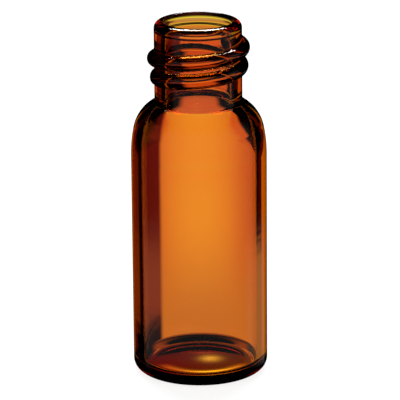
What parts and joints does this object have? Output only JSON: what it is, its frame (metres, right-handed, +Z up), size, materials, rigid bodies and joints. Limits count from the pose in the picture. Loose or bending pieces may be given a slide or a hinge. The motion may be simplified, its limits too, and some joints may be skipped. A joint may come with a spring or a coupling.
{
  "type": "glass sample vial",
  "caption": "Amber glass sample vial with a screw-thread neck and a flat base, open at the top, shown without its cap.",
  "frame": {"origin": "middle of the base, on the surface that the vial stands on", "axes": "+Z up along the vial's axis, out of its mouth; the thread's upper end lies 58 degrees from +X towards +Y"},
  "size_m": [0.012, 0.012, 0.032],
  "materials": {
    "amber_glass": "smooth, clear, fire-polished amber"
  },
  "bodies": {
    "root": {"vial": "amber_glass"}
  },
  "joints": []
}
